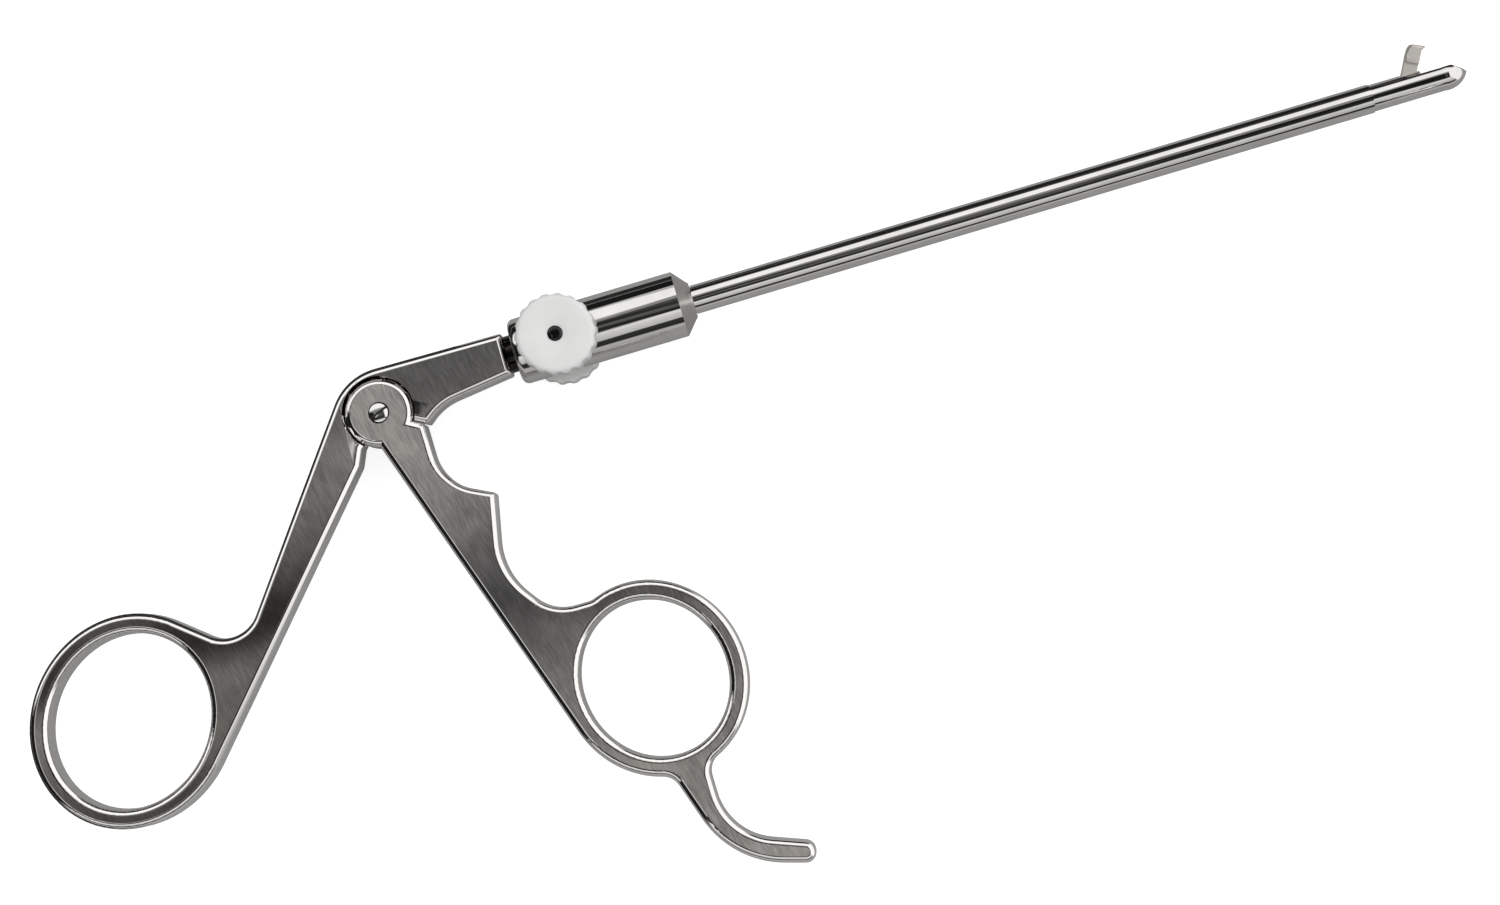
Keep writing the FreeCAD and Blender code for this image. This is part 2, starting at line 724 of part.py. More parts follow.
def make_lower_jaw():
    insert = disc_x(insert_radius, tube_length - insert_length, tube_length)
    housing = disc_x(cup_radius, tube_length, housing_end)
    jaw = insert.fuse(housing).fuse(cup_envelope())
    above = 2 * cup_radius
    rim = plate([
        (housing_end, cup_rim_height, 0),
        (jaw_tip - cup_slope_back, cup_rim_height, cup_edge_round),
        (jaw_tip + cup_slope_back, -cup_slope_drop, 0),
        (jaw_tip + cup_slope_back, above, 0),
        (housing_end, above, 0),
    ], -above, above)
    bore = disc_x(tube_bore_radius, tube_length - insert_length - overrun, jaw_slot_start + slide_gap)
    slot_floor = -jaw_pivot_drop - jaw_hub_radius - slide_gap
    slot_top = cup_rim_height + slide_gap
    slot_end = jaw_tip - cup_mouth_back
    slot = box(jaw_slot_start, slot_end, slot_floor, slot_top, -jaw_slot_half_width, jaw_slot_half_width)
    mouth = box(jaw_mouth_start, slot_end, 0, above, -jaw_slot_half_width, jaw_slot_half_width)
    pocket_half = bite_half_width + slide_gap
    pocket_start = jaw_pivot_x + bite_start - pocket_lead
    pocket_end = jaw_pivot_x + bite_reach + slide_gap
    pocket = bite_block(pocket_start, pocket_end, -cup_floor, pocket_half, bite_corner + slide_gap)
    jaw = jaw.cut(rim).cut(bore).cut(slot).cut(mouth).cut(pocket)
    return jaw.cut(jaw_pin_shape()).removeSplitter()


def upper_jaw_outline(side):
    """Plate of the closed upper jaw seen from the wheel's side, about its pivot."""
    return plate([
        (-jaw_hub_radius, -jaw_hub_radius, jaw_hub_round),
        (jaw_hub_radius, -jaw_hub_radius, jaw_hub_round),
        (bite_heel_ahead, bite_underside, bite_round),
        (bite_tooth_back, bite_underside, bite_round),
        (bite_tooth_tip, bite_tooth_height, bite_round / 2),
        (bite_front, bite_top, bite_round),
        (0, bite_top, bite_back_round),
        (-bite_back, bite_back_height, bite_round),
    ], -side, side)


def make_upper_jaw():
    neck = upper_jaw_outline(jaw_half_width)
    bite = upper_jaw_outline(2 * bite_half_width)
    bite = bite.common(bite_block(bite_start, bite_reach, -cup_radius, bite_half_width, bite_corner))
    jaw = neck.fuse(bite)
    envelope = cup_envelope()
    envelope.translate(vec(-jaw_pivot_x, jaw_pivot_drop, 0))
    whole = disc_x(cup_radius, -jaw_fork_back, jaw_fork_ahead, jaw_pivot_drop).fuse(envelope)
    jaw = jaw.common(whole)
    fork_half = tongue_half_width + slide_gap
    fork = box(-jaw_fork_back, jaw_fork_ahead, -jaw_fork_floor, 2 * cup_radius, -fork_half, fork_half)
    jaw = jaw.cut(fork)
    jaw = jaw.cut(disc_z(jaw_pin_radius + running_fit, -cup_radius, cup_radius))
    crank = polar(crank_arm, 90 - jaw_open_angle / 2)
    jaw = jaw.cut(disc_z(crank_pin_radius, -cup_radius, cup_radius, crank.x, crank.y))
    jaw.rotate(vec(0, 0), vec(0, 0, 1), jaw_open_angle)
    jaw.translate(vec(jaw_pivot_x, -jaw_pivot_drop, 0))
    return jaw.removeSplitter()


def make_crank_pin():
    return disc_z(crank_pin_radius, -jaw_half_width, jaw_half_width, crank_x, crank_y)


NODES = {
    "fixed_handle": make_fixed_handle,
    "moving_handle": make_moving_handle,
    "pivot_screw": make_pivot_screw,
    "push_rod": make_push_rod,
    "rod_ball": make_rod_ball,
    "rod_tongue": make_rod_tongue,
    "neck_stud": make_neck_stud,
    "neck_ring": make_neck_ring,
    "barrel": make_barrel,
    "nose_cap": make_nose_cap,
    "front_bush": make_front_bush,
    "spacer_sleeve": make_spacer_sleeve,
    "shaft_tube": make_shaft_tube,
    "bevel_gear": make_bevel_gear,
    "gear_pin": gear_pin_shape,
    "lower_jaw": make_lower_jaw,
    "upper_jaw": make_upper_jaw,
    "jaw_pin": make_jaw_pin,
    "crank_pin": make_crank_pin,
}

# Pieces of a wheel, made for the near side and turned over for the far side
WHEEL_NODES = {
    "pinion_axle": make_pinion_axle,
    "axle_bush": make_axle_bush,
    "wheel": make_wheel,
    "wheel_screw": make_wheel_screw,
    "wheel_cap": make_wheel_cap,
}


def save(node, shape):
    shape.exportStep(f"parts/{node}.step")
    print(node, len(shape.Solids), shape.isValid(), round(shape.Volume, 2))


os.makedirs("parts", exist_ok=True)
for node, make in NODES.items():
    save(node, make())
for node, make in WHEEL_NODES.items():
    near = make()
    far = near.copy()
    far.rotate(vec(0, 0), vec(1, 0, 0), 180)
    save(f"near_{node}", near)
    save(f"far_{node}", far)
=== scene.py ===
import logging
import math
from dataclasses import dataclass
from enum import Enum

import bmesh
import bpy
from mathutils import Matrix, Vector


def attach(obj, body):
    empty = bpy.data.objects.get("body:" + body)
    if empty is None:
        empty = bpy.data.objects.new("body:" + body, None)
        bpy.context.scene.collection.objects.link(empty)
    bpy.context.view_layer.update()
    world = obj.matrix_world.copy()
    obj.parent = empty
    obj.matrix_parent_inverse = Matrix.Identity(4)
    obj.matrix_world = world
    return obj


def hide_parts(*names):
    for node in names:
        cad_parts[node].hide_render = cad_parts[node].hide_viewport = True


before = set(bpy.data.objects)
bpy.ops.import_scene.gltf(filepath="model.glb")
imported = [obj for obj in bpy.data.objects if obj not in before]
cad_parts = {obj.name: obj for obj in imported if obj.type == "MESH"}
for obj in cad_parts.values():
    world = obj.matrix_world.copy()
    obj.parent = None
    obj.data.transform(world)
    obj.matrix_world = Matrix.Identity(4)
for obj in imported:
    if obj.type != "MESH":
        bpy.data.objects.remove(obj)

# Ring-handled laryngeal forceps on a pale studio table. Metres, in the frame of the solids: +X along the
# shaft to the jaws, +Y up in the plane of the handles, +Z the near side.

logging.basicConfig(level=logging.INFO, format="%(message)s")
log = logging.getLogger("forceps")

MM = 0.001
WHITE = (1.0, 1.0, 1.0, 1.0)
# Most of a noise texture lies between these two values.
NOISE_LOW = 0.3
NOISE_HIGH = 0.7
# Corners of a solid's faces that are closer than this are one corner.
MERGE_REACH = 0.0005 * MM
# The Weighted Normal modifier's strongest preference for large faces.
LARGE_FACE_WEIGHT = 100


class Side(Enum):
    """Side of the barrel that a wheel is on."""

    NEAR = "near"
    FAR = "far"


def linear(hex_colour: str) -> tuple[float, float, float, float]:
    """Turns an sRGB hex colour into linear light.

    Args:
        hex_colour: six hex digits after a hash sign.

    Returns:
        Linear red, green, blue and an alpha of 1.
    """
    channels = [int(hex_colour[i:i + 2], 16) / 255 for i in (1, 3, 5)]
    light = [c / 12.92 if c <= 0.04045 else ((c + 0.055) / 1.055) ** 2.4 for c in channels]
    return (light[0], light[1], light[2], 1.0)


def add_node(tree: bpy.types.NodeTree, kind: str, inputs: dict | None = None, **settings) -> bpy.types.Node:
    """Adds a node with its settings, values and links.

    Args:
        tree: node tree that gets the node.
        kind: type name of the node.
        inputs: input name or number to a value, or to the output socket that feeds it.
        **settings: attributes of the node.

    Returns:
        The new node.
    """
    node = tree.nodes.new(kind)
    for name, value in settings.items():
        setattr(node, name, value)
    for name, value in (inputs or {}).items():
        if isinstance(value, bpy.types.NodeSocket):
            tree.links.new(value, node.inputs[name])
        else:
            node.inputs[name].default_value = value
    return node


def new_material(name: str) -> tuple[bpy.types.Material, bpy.types.NodeTree, bpy.types.Node]:
    """Makes an empty material with a Principled shader on its output.

    Args:
        name: the material's name.

    Returns:
        The material, its node tree and its Principled node.
    """
    material = bpy.data.materials.new(name)
    material.use_nodes = True
    tree = material.node_tree
    tree.nodes.clear()
    shader = add_node(tree, "ShaderNodeBsdfPrincipled")
    add_node(tree, "ShaderNodeOutputMaterial", {"Surface": shader.outputs["BSDF"]})
    return material, tree, shader


@dataclass(frozen=True)
class BrushedSteel:
    """Martensitic stainless steel: belt-brushed flats and hand-polished rounded edges.

    The flats are soft, with fine streaks across the arm. Their colour carries a painted reflection, from
    light at the pivot to dark half-way down, for what slightly hollow ground flats mirror. The edges are
    bright mirrors.
    """

    name: str
    painted_reflection_tones: tuple[tuple[float, str], ...]
    flat_roughness: float
    painted_reflection_bottom: float = -92 * MM
    painted_reflection_top: float = 8 * MM
    polished: str = "#eeece9"
    flat_level: float = 2.9975 * MM
    flat_change: float = 0.003 * MM
    # The grit's real scratches are about 0.03 mm wide. They are drawn wider, because finer ones don't show.
    streak_width: float = 0.19 * MM
    streak_length: float = 2.2 * MM
    streak_angle: float = 77.0
    wave_size: float = 3.0 * MM
    wave_reach: float = 0.9 * MM
    streak_depth: float = 0.012 * MM
    streak_strength: float = 0.35
    cloud_size: float = 9 * MM
    drift_reach: float = 0.25
    wear: float = 0.28
    roughness_spread: float = 0.05
    edge_roughness: float = 0.05

    def build(self) -> bpy.types.Material:
        """Builds the material.

        Returns:
            The material.
        """
        material, tree, shader = new_material(self.name)
        place = add_node(tree, "ShaderNodeTexCoord").outputs["Object"]
        parts = add_node(tree, "ShaderNodeSeparateXYZ", {"Vector": place})
        height = add_node(tree, "ShaderNodeMath", {0: parts.outputs["Z"]}, operation="ABSOLUTE")
        flat = add_node(tree, "ShaderNodeMapRange", {
            "Value": height.outputs[0],
            "From Min": self.flat_level - self.flat_change, "From Max": self.flat_level,
        })
        waves = add_node(tree, "ShaderNodeTexNoise", {
            "Vector": place, "Scale": 1 / self.wave_size, "Detail": 1.0,
        })
        waved = add_node(tree, "ShaderNodeVectorMath", {
            0: waves.outputs["Color"], 1: (self.wave_reach,) * 3, 2: place,
        }, operation="MULTIPLY_ADD")
        turned = add_node(tree, "ShaderNodeMapping", {
            "Vector": waved.outputs[0], "Rotation": (0.0, 0.0, math.radians(self.streak_angle)),
        })
        stretched = add_node(tree, "ShaderNodeMapping", {
            "Vector": turned.outputs[0],
            "Scale": (1 / self.streak_length, 1 / self.streak_width, 1 / self.streak_length),
        })
        streaks = add_node(tree, "ShaderNodeTexNoise", {
            "Vector": stretched.outputs[0], "Scale": 1.0, "Detail": 3.0, "Roughness": 0.6,
        })
        clouds = add_node(tree, "ShaderNodeTexNoise", {
            "Vector": place, "Scale": 1 / self.cloud_size, "Detail": 2.0,
        })
        along = add_node(tree, "ShaderNodeMapRange", {
            "Value": parts.outputs["Y"], "From Min": self.painted_reflection_bottom, "From Max": self.painted_reflection_top,
        })
        # Painted reflection: the flat's colour follows its height over the shaft, light near the pivot and
        # dark half-way down.
        painted_reflection_ramp = add_node(tree, "ShaderNodeValToRGB", {"Fac": along.outputs[0]})
        painted_reflection_ramp.color_ramp.interpolation = "B_SPLINE"
        elements = painted_reflection_ramp.color_ramp.elements
        while len(elements) < len(self.painted_reflection_tones):
            elements.new(1.0)
        for element, (level, tone) in zip(elements, self.painted_reflection_tones):
            element.position = (level * MM - self.painted_reflection_bottom) / (self.painted_reflection_top - self.painted_reflection_bottom)
            element.color = linear(tone)
        drift = add_node(tree, "ShaderNodeMath", {
            0: clouds.outputs[0], 1: streaks.outputs[0],
        }, operation="ADD")
        worn = add_node(tree, "ShaderNodeMapRange", {
            "Value": drift.outputs[0], "From Min": 1 - self.drift_reach, "From Max": 1 + self.drift_reach,
            "To Min": 1 - self.wear, "To Max": 1 + self.wear,
        })
        flat_colour = add_node(tree, "ShaderNodeVectorMath", {0: painted_reflection_ramp.outputs[0], 1: worn.outputs[0]},
                               operation="MULTIPLY")
        colour = add_node(tree, "ShaderNodeMix", {
            0: flat.outputs[0], 6: linear(self.polished), 7: flat_colour.outputs[0],
        }, data_type="RGBA")
        brushed = add_node(tree, "ShaderNodeMapRange", {
            "Value": streaks.outputs[0], "From Min": NOISE_LOW, "From Max": NOISE_HIGH,
            "To Min": self.flat_roughness - self.roughness_spread,
            "To Max": self.flat_roughness + self.roughness_spread,
        })
        roughness = add_node(tree, "ShaderNodeMix", {
            0: flat.outputs[0], 2: self.edge_roughness, 3: brushed.outputs[0],
        })
        strength = add_node(tree, "ShaderNodeMath", {
            0: flat.outputs[0], 1: self.streak_strength,
        }, operation="MULTIPLY")
        bump = add_node(tree, "ShaderNodeBump", {
            "Height": streaks.outputs[0], "Strength": strength.outputs[0], "Distance": self.streak_depth,
        })
        tree.links.new(colour.outputs[2], shader.inputs["Base Color"])
        tree.links.new(roughness.outputs[0], shader.inputs["Roughness"])
        tree.links.new(bump.outputs[0], shader.inputs["Normal"])
        shader.inputs["Metallic"].default_value = 1.0
        return material


@dataclass(frozen=True)
class TurnedSteel:
    """Stainless steel shaped on a lathe or ground, from mirror polish to satin.

    Fine rings or lines follow the cut. Handling leaves a faint uneven haze.
    """

    name: str
    colour: str
    roughness: float
    line_axis: str = "X"
    # Real lines are finer than this. They are drawn wider, because finer ones don't show.
    line_width: float = 0.15 * MM
    line_length: float = 4 * MM
    line_depth: float = 0.0
    least_line_depth: float = 0.0002 * MM
    line_strength: float = 0.4
    cloud_size: float = 5 * MM
    darkest_cloud: float = 0.94
    lightest_cloud: float = 1.04
    haze: float = 0.03
    haze_low: float = 0.1
    haze_high: float = 0.4
    least_roughness: float = 0.02

    def build(self) -> bpy.types.Material:
        """Builds the material.

        Returns:
            The material.
        """
        material, tree, shader = new_material(self.name)
        place = add_node(tree, "ShaderNodeTexCoord").outputs["Object"]
        scale = [1 / self.line_length] * 3
        scale["XYZ".index(self.line_axis)] = 1 / self.line_width
        stretched = add_node(tree, "ShaderNodeMapping", {"Vector": place, "Scale": scale})
        lines = add_node(tree, "ShaderNodeTexNoise", {
            "Vector": stretched.outputs[0], "Scale": 1.0, "Detail": 2.0,
        })
        clouds = add_node(tree, "ShaderNodeTexNoise", {
            "Vector": place, "Scale": 1 / self.cloud_size, "Detail": 3.0,
        })
        tone = add_node(tree, "ShaderNodeMapRange", {
            "Value": clouds.outputs[0], "From Min": NOISE_LOW, "From Max": NOISE_HIGH,
            "To Min": self.darkest_cloud, "To Max": self.lightest_cloud,
        })
        colour = add_node(tree, "ShaderNodeVectorMath", {0: linear(self.colour)[:3], 1: tone.outputs[0]},
                          operation="MULTIPLY")
        both = add_node(tree, "ShaderNodeMath", {
            0: clouds.outputs[0], 1: lines.outputs[0],
        }, operation="MULTIPLY")
        roughness = add_node(tree, "ShaderNodeMapRange", {
            "Value": both.outputs[0], "From Min": self.haze_low, "From Max": self.haze_high,
            "To Min": max(self.roughness - self.haze, self.least_roughness),
            "To Max": self.roughness + self.haze,
        })
        bump = add_node(tree, "ShaderNodeBump", {
            "Height": lines.outputs[0], "Strength": self.line_strength,
            "Distance": max(self.line_depth, self.least_line_depth),
        })
        tree.links.new(colour.outputs[0], shader.inputs["Base Color"])
        tree.links.new(roughness.outputs[0], shader.inputs["Roughness"])
        tree.links.new(bump.outputs[0], shader.inputs["Normal"])
        shader.inputs["Metallic"].default_value = 1.0
        return material


@dataclass(frozen=True)
class MouldedPlastic:
    """Injection-moulded plastic: an even colour with a very fine grain or gloss from the tool."""

    name: str
    colour: str
    roughness: float
    # The tool's grain is finer than this. It is drawn wider, because a finer one doesn't show.
    grain_width: float = 0.12 * MM
    grain_depth: float = 0.004 * MM
    grain_strength: float = 0.25
    cloud_size: float = 4 * MM
    darkest_cloud: float = 0.97
    lightest_cloud: float = 1.02
    roughness_spread: float = 0.15
    refraction: float = 1.49

    def build(self) -> bpy.types.Material:
        """Builds the material.

        Returns:
            The material.
        """
        material, tree, shader = new_material(self.name)
        place = add_node(tree, "ShaderNodeTexCoord").outputs["Object"]
        grain = add_node(tree, "ShaderNodeTexNoise", {
            "Vector": place, "Scale": 1 / self.grain_width, "Detail": 2.0,
        })
        clouds = add_node(tree, "ShaderNodeTexNoise", {
            "Vector": place, "Scale": 1 / self.cloud_size, "Detail": 2.0,
        })
        tone = add_node(tree, "ShaderNodeMapRange", {
            "Value": clouds.outputs[0], "From Min": NOISE_LOW, "From Max": NOISE_HIGH,
            "To Min": self.darkest_cloud, "To Max": self.lightest_cloud,
        })
        colour = add_node(tree, "ShaderNodeVectorMath", {0: linear(self.colour)[:3], 1: tone.outputs[0]},
                          operation="MULTIPLY")
        roughness = add_node(tree, "ShaderNodeMapRange", {
            "Value": clouds.outputs[0], "From Min": NOISE_LOW, "From Max": NOISE_HIGH,
            "To Min": self.roughness * (1 - self.roughness_spread),
            "To Max": self.roughness * (1 + self.roughness_spread),
        })
        bump = add_node(tree, "ShaderNodeBump", {
            "Height": grain.outputs[0], "Strength": self.grain_strength, "Distance": self.grain_depth,
        })
        tree.links.new(colour.outputs[0], shader.inputs["Base Color"])
        tree.links.new(roughness.outputs[0], shader.inputs["Roughness"])
        tree.links.new(bump.outputs[0], shader.inputs["Normal"])
        shader.inputs["IOR"].default_value = self.refraction
        return material


# Painted reflection: colours of the flats against the height over the shaft axis in millimetres, from the
# bottom up, for the light and dark parts of the room that the flats mirror.
FIXED_HANDLE_STEEL = BrushedSteel("brushed_steel_fixed_handle", (
    (-62, "#6f6965"), (-50, "#7d7773"), (-41, "#aaa5a0"), (-36, "#b4afab"), (-32, "#2c2a28"),
    (-26, "#656260"), (-19, "#949290"), (-14, "#aeacaa"), (-8, "#bbb8b6"), (-3, "#8c8a89"), (5, "#838281"),
), 0.38)
MOVING_HANDLE_STEEL = BrushedSteel("brushed_steel_moving_handle", (
    (-86, "#dcd6d1"), (-70, "#cfcac5"), (-60, "#b2aeaa"), (-52, "#aca8a6"), (-46, "#9e9c9a"),
    (-39, "#676565"), (-31, "#898786"), (-25, "#afacaa"), (-19, "#d2ceca"), (-11, "#cdc9c4"), (-4, "#d8d4cf"),
), 0.42)
POLISHED_STEEL = TurnedSteel("mirror_polished_steel", "#e0dedb", 0.04, haze=0.015)
NOSE_STEEL = TurnedSteel("satin_turned_steel", "#c9c6c2", 0.2, line_depth=0.003 * MM, haze=0.05)
# Painted reflection: the neck ring's steel is given a near-black colour for the dark reflection it shows in
# the gap between the forearm and the barrel.
NECK_STEEL_PAINTED_DARK = TurnedSteel("turned_steel_painted_dark", "#32302e", 0.14)
JAW_STEEL = TurnedSteel("ground_jaw_steel", "#e4dfd8", 0.42, line_depth=0.003 * MM)
SCREW_STEEL = TurnedSteel("turned_screw_steel", "#e4e2df", 0.1, line_axis="Z", line_depth=0.002 * MM)
INNER_STEEL = TurnedSteel("machined_steel", "#b5b3b0", 0.28, line_depth=0.004 * MM)
BUSH_BRONZE = TurnedSteel("turned_bronze", "#b08a4c", 0.3, line_depth=0.003 * MM)
WHITE_PLASTIC = MouldedPlastic("white_acetal", "#d9d9d8", 0.42)
BLACK_PLASTIC = MouldedPlastic("black_glossy_acetal", "#0b0b0b", 0.1, grain_depth=0.0005 * MM)


def select_only(obj: bpy.types.Object) -> None:
    """Makes one object the only selected and the active one.

    Args:
        obj: the object.
    """
    bpy.ops.object.select_all(action="DESELECT")
    obj.select_set(True)
    bpy.context.view_layer.objects.active = obj


def finish_piece(
    obj: bpy.types.Object, finish: bpy.types.Material, slot: str, body: str, *nodes: str,
) -> None:
    """Gives a finished piece its material and body, and lets it stand for its solids.

    Args:
        obj: the piece, at the origin.
        finish: its material.
        slot: material slot, not used.
        body: body that it moves with.
        *nodes: solids that it replaces.
    """
    obj.data.materials.clear()
    obj.data.materials.append(finish)
    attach(obj, body)
    if nodes:
        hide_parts(*nodes)
    log.info("%s: %d faces on %s", obj.name, len(obj.data.polygons), body)


def smooth_copy(node: str, name: str, angle: float) -> bpy.types.Object:
    """Copies a solid's mesh, merges its loose triangles and shades it smooth.

    Args:
        node: name of the solid.
        name: name of the piece.
        angle: edges sharper than this, in degrees, stay sharp.

    Returns:
        The piece.
    """
    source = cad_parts[node]
    piece = bpy.data.objects.new(name, source.data.copy())
    bpy.context.scene.collection.objects.link(piece)
    select_only(piece)
    bpy.ops.object.mode_set(mode="EDIT")
    bpy.ops.mesh.select_all(action="SELECT")
    bpy.ops.mesh.remove_doubles(threshold=MERGE_REACH)
    bpy.ops.object.mode_set(mode="OBJECT")
    bpy.ops.object.shade_smooth_by_angle(angle=math.radians(angle))
    weighted = piece.modifiers.new("weighted", "WEIGHTED_NORMAL")
    weighted.keep_sharp = True
    weighted.weight = LARGE_FACE_WEIGHT
    bpy.ops.object.modifier_apply(modifier=weighted.name)
    return piece


def finish_normals(piece: bpy.types.Object, angle: float) -> None:
    """Points a new piece's faces outwards and shades it smooth.

    Args:
        piece: the piece.
        angle: edges sharper than this, in degrees, stay sharp.
    """
    select_only(piece)
    bpy.ops.object.mode_set(mode="EDIT")
    bpy.ops.mesh.select_all(action="SELECT")
    bpy.ops.mesh.normals_make_consistent(inside=False)
    bpy.ops.object.mode_set(mode="OBJECT")
    bpy.ops.object.shade_smooth_by_angle(angle=math.radians(angle))


def turn_over(piece: bpy.types.Object) -> None:
    """Turns a piece of the near side over the shaft axis to the far side.

    Args:
        piece: the piece.
    """
    select_only(piece)
    bpy.ops.object.mode_set(mode="EDIT")
    bpy.ops.mesh.select_all(action="SELECT")
    bpy.ops.transform.rotate(value=math.pi, orient_axis="X", center_override=(0.0, 0.0, 0.0))
    bpy.ops.object.mode_set(mode="OBJECT")


def new_circle(
    name: str, count: int, radius: float, centre: tuple, fill: str = "NOTHING",
) -> bpy.types.Object:
    """Adds a circle across Z, selected in edit mode, as the start of a turned piece.

    Args:
        name: name of the piece.
        count: number of corners.
        radius: its radius.
        centre: its centre.
        fill: fill type of the circle.

    Returns:
        The piece, with its place in its mesh.
    """
    bpy.ops.object.select_all(action="DESELECT")
    bpy.ops.mesh.primitive_circle_add(vertices=count, radius=radius, location=centre, fill_type=fill)
    piece = bpy.context.object
    piece.name = name
    bpy.ops.object.transform_apply(location=True)
    bpy.ops.object.mode_set(mode="EDIT")
    bpy.ops.mesh.select_mode(type="VERT")
    bpy.ops.mesh.select_all(action="SELECT")
    return piece


def extrude_ring(rise: float, share: float, axis_x: float, axis_y: float = 0.0) -> None:
    """Extrudes the selected ring along Z and changes its radius.

    Args:
        rise: distance along Z.
        share: new radius over old radius.
        axis_x: place of the ring's axis along the shaft.
        axis_y: its height above the shaft.
    """
    bpy.ops.mesh.extrude_region_move(TRANSFORM_OT_translate={"value": (0.0, 0.0, rise)})
    bpy.ops.transform.resize(value=(share, share, 1.0), center_override=(axis_x, axis_y, 0.0))


@dataclass
class HandlePair:
    """The two ring handles and the screw that they turn on."""

    edge_angle: float = 32.0
    half_thickness: float = 3.0 * MM
    flat_reach: float = 0.002 * MM
    least_flat_share: float = 0.7
    screw_corners: int = 72
    pivot: tuple[float, float] = (-53.7 * MM, -3.3 * MM)
    shank_radius: float = 1.25 * MM
    head_radius: float = 1.5 * MM
    head_bottom: float = 2.0 * MM
    dome_height: float = 0.27 * MM
    dome_steps: int = 8
    slot_width: float = 0.4 * MM
    slot_floor: float = 2.5 * MM
    slot_angle: float = 22.0

    def build(self) -> None:
        """Builds and dresses the handles and the screw."""
        fixed = smooth_copy("fixed_handle", "fixed_handle_plate", self.edge_angle)
        moving = smooth_copy("moving_handle", "moving_handle_plate", self.edge_angle)
        for plate in (fixed, moving):
            self.level_flats(plate)
        finish_piece(fixed, FIXED_HANDLE_STEEL.build(), "handle_steel", "frame", "fixed_handle")
        finish_piece(moving, MOVING_HANDLE_STEEL.build(), "handle_steel", "squeeze_handle", "moving_handle")
        finish_piece(self.screw(), SCREW_STEEL.build(), "screw_steel", "frame", "pivot_screw")

    def level_flats(self, plate: bpy.types.Object) -> None:
        """Keeps the shading of a plate's flats level up to the line where their rounded rims start.

        Args:
            plate: the handle's piece.
        """
        mesh = plate.data
        normals = [corner.vector.copy() for corner in mesh.corner_normals]
        for loop in mesh.loops:
            height = mesh.vertices[loop.vertex_index].co.z
            on_flat = abs(abs(height) - self.half_thickness) < self.flat_reach
            if on_flat and abs(normals[loop.index].z) > self.least_flat_share:
                normals[loop.index] = Vector((0.0, 0.0, math.copysign(1.0, height)))
        mesh.normals_split_custom_set(normals)

    def screw(self) -> bpy.types.Object:
        """Models the pivot screw: shank, head with a low dome and a driver slot across it.

        Returns:
            The screw.
        """
        x, y = self.pivot
        centre = (x, y, -self.half_thickness)
        screw = new_circle("pivot_screw_head", self.screw_corners, self.shank_radius, centre, "NGON")
        rings = [(self.head_bottom, self.shank_radius), (self.head_bottom, self.head_radius)]
        rings.append((self.half_thickness - self.dome_height, self.head_radius))
        for step in range(1, self.dome_steps):
            share = 1 - step / self.dome_steps
            rings.append((self.half_thickness - self.dome_height * share ** 2, self.head_radius * share))
        level, reach = -self.half_thickness, self.shank_radius
        for height, radius in rings:
            extrude_ring(height - level, radius / reach, x, y)
            level, reach = height, radius
        bpy.ops.object.mode_set(mode="OBJECT")
        finish_normals(screw, self.edge_angle)
        bpy.ops.object.select_all(action="DESELECT")
        bpy.ops.mesh.primitive_cube_add(size=1.0, location=(x, y, self.slot_floor + self.head_radius / 2))
        driver = bpy.context.object
        bpy.ops.object.mode_set(mode="EDIT")
        place = (x, y, self.slot_floor)
        size = (3 * self.head_radius, self.slot_width, self.head_radius)
        bpy.ops.transform.resize(value=size, center_override=(x, y, self.slot_floor + self.head_radius / 2))
        bpy.ops.transform.rotate(value=-math.radians(self.slot_angle), orient_axis="Z", center_override=place)
        bpy.ops.object.mode_set(mode="OBJECT")
        cut = screw.modifiers.new("slot", "BOOLEAN")
        cut.object = driver
        cut.solver = "EXACT"
        select_only(screw)
        bpy.ops.object.modifier_apply(modifier=cut.name)
        bpy.data.objects.remove(driver)
        bpy.ops.object.shade_smooth_by_angle(angle=math.radians(self.edge_angle))
        return screw


@dataclass
class BarrelGroup:
    """The polished barrel with its nose and its neck."""

    edge_angle: float = 25.0

    def build(self) -> None:
        """Builds and dresses the barrel, nose and neck."""
        barrel = smooth_copy("barrel", "polished_barrel", self.edge_angle)
        finish_piece(barrel, POLISHED_STEEL.build(), "polished_steel", "frame", "barrel")
        nose = smooth_copy("nose_cap", "satin_nose", self.edge_angle)
        finish_piece(nose, NOSE_STEEL.build(), "nose_steel", "frame", "nose_cap")
        neck = smooth_copy("neck_ring", "slotted_neck_ring", self.edge_angle)
        finish_piece(neck, NECK_STEEL_PAINTED_DARK.build(), "neck_steel", "frame", "neck_ring")


